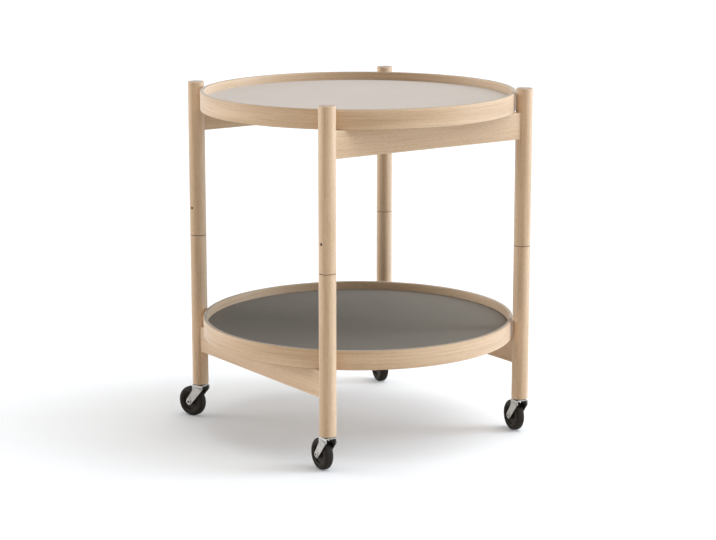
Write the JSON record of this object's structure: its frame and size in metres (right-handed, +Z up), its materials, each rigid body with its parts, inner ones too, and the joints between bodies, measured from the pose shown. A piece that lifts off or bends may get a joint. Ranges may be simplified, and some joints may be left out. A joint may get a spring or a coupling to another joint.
{
  "type": "tray table",
  "caption": "Round wooden tray table with lift-off reversible trays, a pivoted frame of round legs and flat bars, and swivel casters.",
  "frame": {"origin": "floor level below the middle of the trays", "axes": "+Z up; X along the upper bars, Y along the lower bars; the picture is taken from -X -Y"},
  "size_m": [0.503, 0.503, 0.562],
  "materials": {
    "beech": "clear matt lacquer",
    "base_board": "plain fibre board",
    "light_laminate": "satin",
    "dark_laminate": "satin",
    "plated_steel": "bright zinc plate",
    "pin_steel": "ground",
    "dark_nylon": "plain",
    "screw_brown": "browned",
    "wheel_black": "moulded",
    "tyre_black": "smooth"
  },
  "bodies": {
    "lower_left_frame": {"lower_leg_front": "beech", "lower_leg_left": "beech", "lower_bar_left": "beech", "lower_dowels_left": "beech", "pivot_pin_front": "pin_steel", "pivot_pin_left": "pin_steel", "seam_washers_left": "dark_nylon", "caster_sockets_left": "pin_steel"},
    "lower_right_frame": {"lower_leg_right": "beech", "lower_leg_back": "beech", "lower_bar_right": "beech", "lower_dowels_right": "beech", "pivot_pin_right": "pin_steel", "pivot_pin_back": "pin_steel", "seam_washers_right": "dark_nylon", "caster_sockets_right": "pin_steel"},
    "upper_front_frame": {"upper_leg_front": "beech", "upper_leg_right": "beech", "upper_bar_front": "beech", "upper_dowels_front": "beech", "pivot_bushing_front": "dark_nylon", "pivot_bushing_right": "dark_nylon", "retaining_screws_front": "screw_brown"},
    "upper_back_frame": {"upper_leg_left": "beech", "upper_leg_back": "beech", "upper_bar_back": "beech", "upper_dowels_back": "beech", "pivot_bushing_left": "dark_nylon", "pivot_bushing_back": "dark_nylon", "retaining_screws_back": "screw_brown"},
    "upper_tray": {"upper_tray_rim": "beech", "upper_tray_core": "base_board", "upper_tray_laminate_top": "light_laminate", "upper_tray_laminate_bottom": "dark_laminate"},
    "lower_tray": {"lower_tray_rim": "beech", "lower_tray_core": "base_board", "lower_tray_laminate_top": "dark_laminate", "lower_tray_laminate_bottom": "light_laminate"},
    "caster_front": {"caster_stem_front": "plated_steel", "caster_fork_front": "plated_steel", "caster_axle_front": "plated_steel"},
    "wheel_front": {"wheel_hub_front": "wheel_black", "wheel_tyre_front": "tyre_black"},
    "caster_right": {"caster_stem_right": "plated_steel", "caster_fork_right": "plated_steel", "caster_axle_right": "plated_steel"},
    "wheel_right": {"wheel_hub_right": "wheel_black", "wheel_tyre_right": "tyre_black"},
    "caster_left": {"caster_stem_left": "plated_steel", "caster_fork_left": "plated_steel", "caster_axle_left": "plated_steel"},
    "wheel_left": {"wheel_hub_left": "wheel_black", "wheel_tyre_left": "tyre_black"},
    "caster_back": {"caster_stem_back": "plated_steel", "caster_fork_back": "plated_steel", "caster_axle_back": "plated_steel"},
    "wheel_back": {"wheel_hub_back": "wheel_black", "wheel_tyre_back": "tyre_black"}
  },
  "joints": [
    {"name": "fold_front", "type": "hinge", "parent": "lower_left_frame", "child": "upper_front_frame", "pos_m": [-0.18798, -0.18798, 0.31], "axis": [0, 0, 1], "range_deg": [-0.17, 0.17]},
    {"name": "fold_left", "type": "hinge", "parent": "lower_left_frame", "child": "upper_back_frame", "pos_m": [-0.18798, 0.18798, 0.31], "axis": [0, 0, 1], "range_deg": [-0.17, 0.17]},
    {"name": "fold_right", "type": "hinge", "parent": "upper_front_frame", "child": "lower_right_frame", "pos_m": [0.18798, -0.18798, 0.31], "axis": [0, 0, 1], "range_deg": [-0.17, 0.17]},
    {"name": "upper_tray_lift", "type": "slide", "parent": "lower_left_frame", "child": "upper_tray", "axis": [0, 0, 1], "range_m": [0, 0.1]},
    {"name": "lower_tray_lift", "type": "slide", "parent": "lower_left_frame", "child": "lower_tray", "axis": [0, 0, 1], "range_m": [0, 0.29]},
    {"name": "swivel_front", "type": "hinge", "parent": "lower_left_frame", "child": "caster_front", "pos_m": [-0.18798, -0.18798, 0.05], "axis": [0, 0, 1], "continuous": true},
    {"name": "spin_front", "type": "hinge", "parent": "caster_front", "child": "wheel_front", "pos_m": [-0.18642, -0.17005, 0.025], "axis": [-0.9962, 0.0872, 0], "continuous": true},
    {"name": "swivel_right", "type": "hinge", "parent": "lower_right_frame", "child": "caster_right", "pos_m": [0.18798, -0.18798, 0.05], "axis": [0, 0, 1], "continuous": true},
    {"name": "spin_right", "type": "hinge", "parent": "caster_right", "child": "wheel_right", "pos_m": [0.19142, -0.17031, 0.025], "axis": [-0.9816, 0.1908, 0], "continuous": true},
    {"name": "swivel_left", "type": "hinge", "parent": "lower_left_frame", "child": "caster_left", "pos_m": [-0.18798, 0.18798, 0.05], "axis": [0, 0, 1], "continuous": true},
    {"name": "spin_left", "type": "hinge", "parent": "caster_left", "child": "wheel_left", "pos_m": [-0.19384, 0.205, 0.025], "axis": [-0.9455, -0.3256, 0], "continuous": true},
    {"name": "swivel_back", "type": "hinge", "parent": "lower_right_frame", "child": "caster_back", "pos_m": [0.18798, 0.18798, 0.05], "axis": [0, 0, 1], "continuous": true},
    {"name": "spin_back", "type": "hinge", "parent": "caster_back", "child": "wheel_back", "pos_m": [0.19203, 0.20552, 0.025], "axis": [-0.9744, 0.225, 0], "continuous": true}
  ],
  "couplings": [
    {"joint": "fold_left", "follows": "fold_front", "ratio": 1},
    {"joint": "fold_right", "follows": "fold_front", "ratio": -1}
  ]
}
